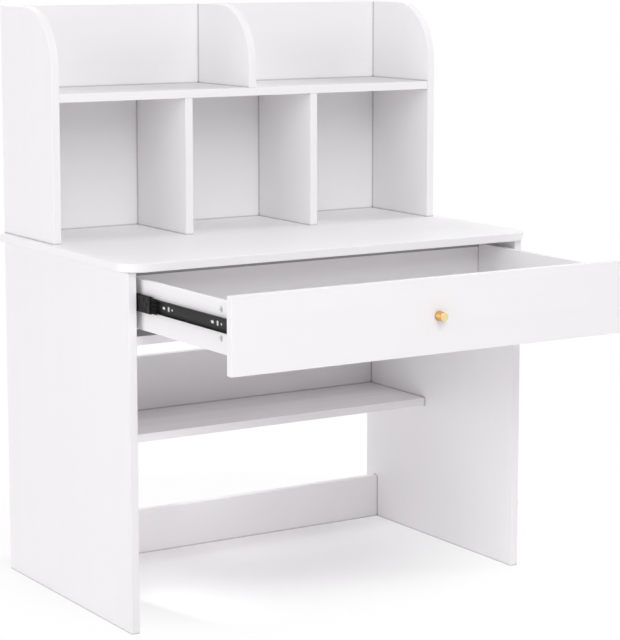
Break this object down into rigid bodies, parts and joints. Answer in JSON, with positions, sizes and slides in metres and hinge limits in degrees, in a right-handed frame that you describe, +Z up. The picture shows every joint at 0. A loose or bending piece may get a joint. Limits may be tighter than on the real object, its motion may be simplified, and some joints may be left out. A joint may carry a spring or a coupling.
{
  "type": "student desk with hutch",
  "caption": "White student desk with rounded desktop, wide drawer on ball-bearing slides, rear lower shelf and a bookcase hutch with rounded uprights.",
  "frame": {"origin": "on the floor, under the middle of the whole desk's footprint with the drawer drawn out 370 mm", "axes": "+Z up, +Y from the sitter to the rear of the desk, +X to the sitter's right"},
  "size_m": [1, 0.97, 1.245],
  "materials": {
    "white_board": "18 mm chipboard faced and edged with white melamine, satin",
    "drawer_box_board": "12 mm chipboard faced with white melamine, satin",
    "drawer_bottom_board": "thin hardboard with a white lacquered face",
    "slide_black": "rolled steel strip, black electrophoretic coat, satin",
    "cage_black": "thin pressed steel, blackened",
    "ball_steel": "polished bearing steel",
    "cam_zinc": "die-cast zinc alloy, bare",
    "screw_steel": "zinc-plated steel",
    "beech": "bare beech",
    "brass": "turned, brass-coloured, polished"
  },
  "bodies": {
    "desk": {"left_side_panel": "white_board", "right_side_panel": "white_board", "desktop": "white_board", "lower_shelf": "white_board", "modesty_panel": "white_board", "rear_stretcher": "white_board", "drawer_rail": "white_board", "desk_cams": "cam_zinc", "desk_cam_bolts": "screw_steel", "desk_dowels": "beech", "hutch_left_side": "white_board", "hutch_right_side": "white_board", "hutch_back": "white_board", "hutch_shelf": "white_board", "hutch_upper_divider": "white_board", "hutch_lower_divider_1": "white_board", "hutch_lower_divider_2": "white_board", "hutch_cams": "cam_zinc", "hutch_cam_bolts": "screw_steel", "hutch_dowels": "beech", "hutch_screws": "screw_steel", "left_slide_cabinet_member": "slide_black", "right_slide_cabinet_member": "slide_black", "slide_cabinet_screws": "screw_steel"},
    "drawer": {"drawer_front": "white_board", "drawer_left_side": "drawer_box_board", "drawer_right_side": "drawer_box_board", "drawer_back": "drawer_box_board", "drawer_bottom": "drawer_bottom_board", "drawer_cams": "cam_zinc", "drawer_cam_bolts": "screw_steel", "drawer_back_screws": "screw_steel", "knob": "brass", "knob_screw": "screw_steel", "left_slide_drawer_member": "slide_black", "right_slide_drawer_member": "slide_black", "slide_drawer_screws": "screw_steel"},
    "runners": {"left_slide_runner": "slide_black", "right_slide_runner": "slide_black"},
    "outer_cages": {"left_slide_outer_cage": "cage_black", "right_slide_outer_cage": "cage_black", "slide_outer_balls": "ball_steel"},
    "inner_cages": {"left_slide_inner_cage": "cage_black", "right_slide_inner_cage": "cage_black", "slide_inner_balls": "ball_steel"}
  },
  "joints": [
    {"name": "runner_slide", "type": "slide", "parent": "desk", "child": "runners", "axis": [0, -1, 0], "range_m": [-0.075, 0.08]},
    {"name": "drawer_slide", "type": "slide", "parent": "runners", "child": "drawer", "axis": [0, -1, 0], "range_m": [-0.295, 0]},
    {"name": "outer_cage_slide", "type": "slide", "parent": "desk", "child": "outer_cages", "axis": [0, -1, 0], "range_m": [-0.0375, 0.04]},
    {"name": "inner_cage_slide", "type": "slide", "parent": "runners", "child": "inner_cages", "axis": [0, -1, 0], "range_m": [-0.1475, 0]}
  ],
  "couplings": [
    {"joint": "outer_cage_slide", "follows": "runner_slide", "ratio": 0.5},
    {"joint": "inner_cage_slide", "follows": "drawer_slide", "ratio": 0.5}
  ]
}
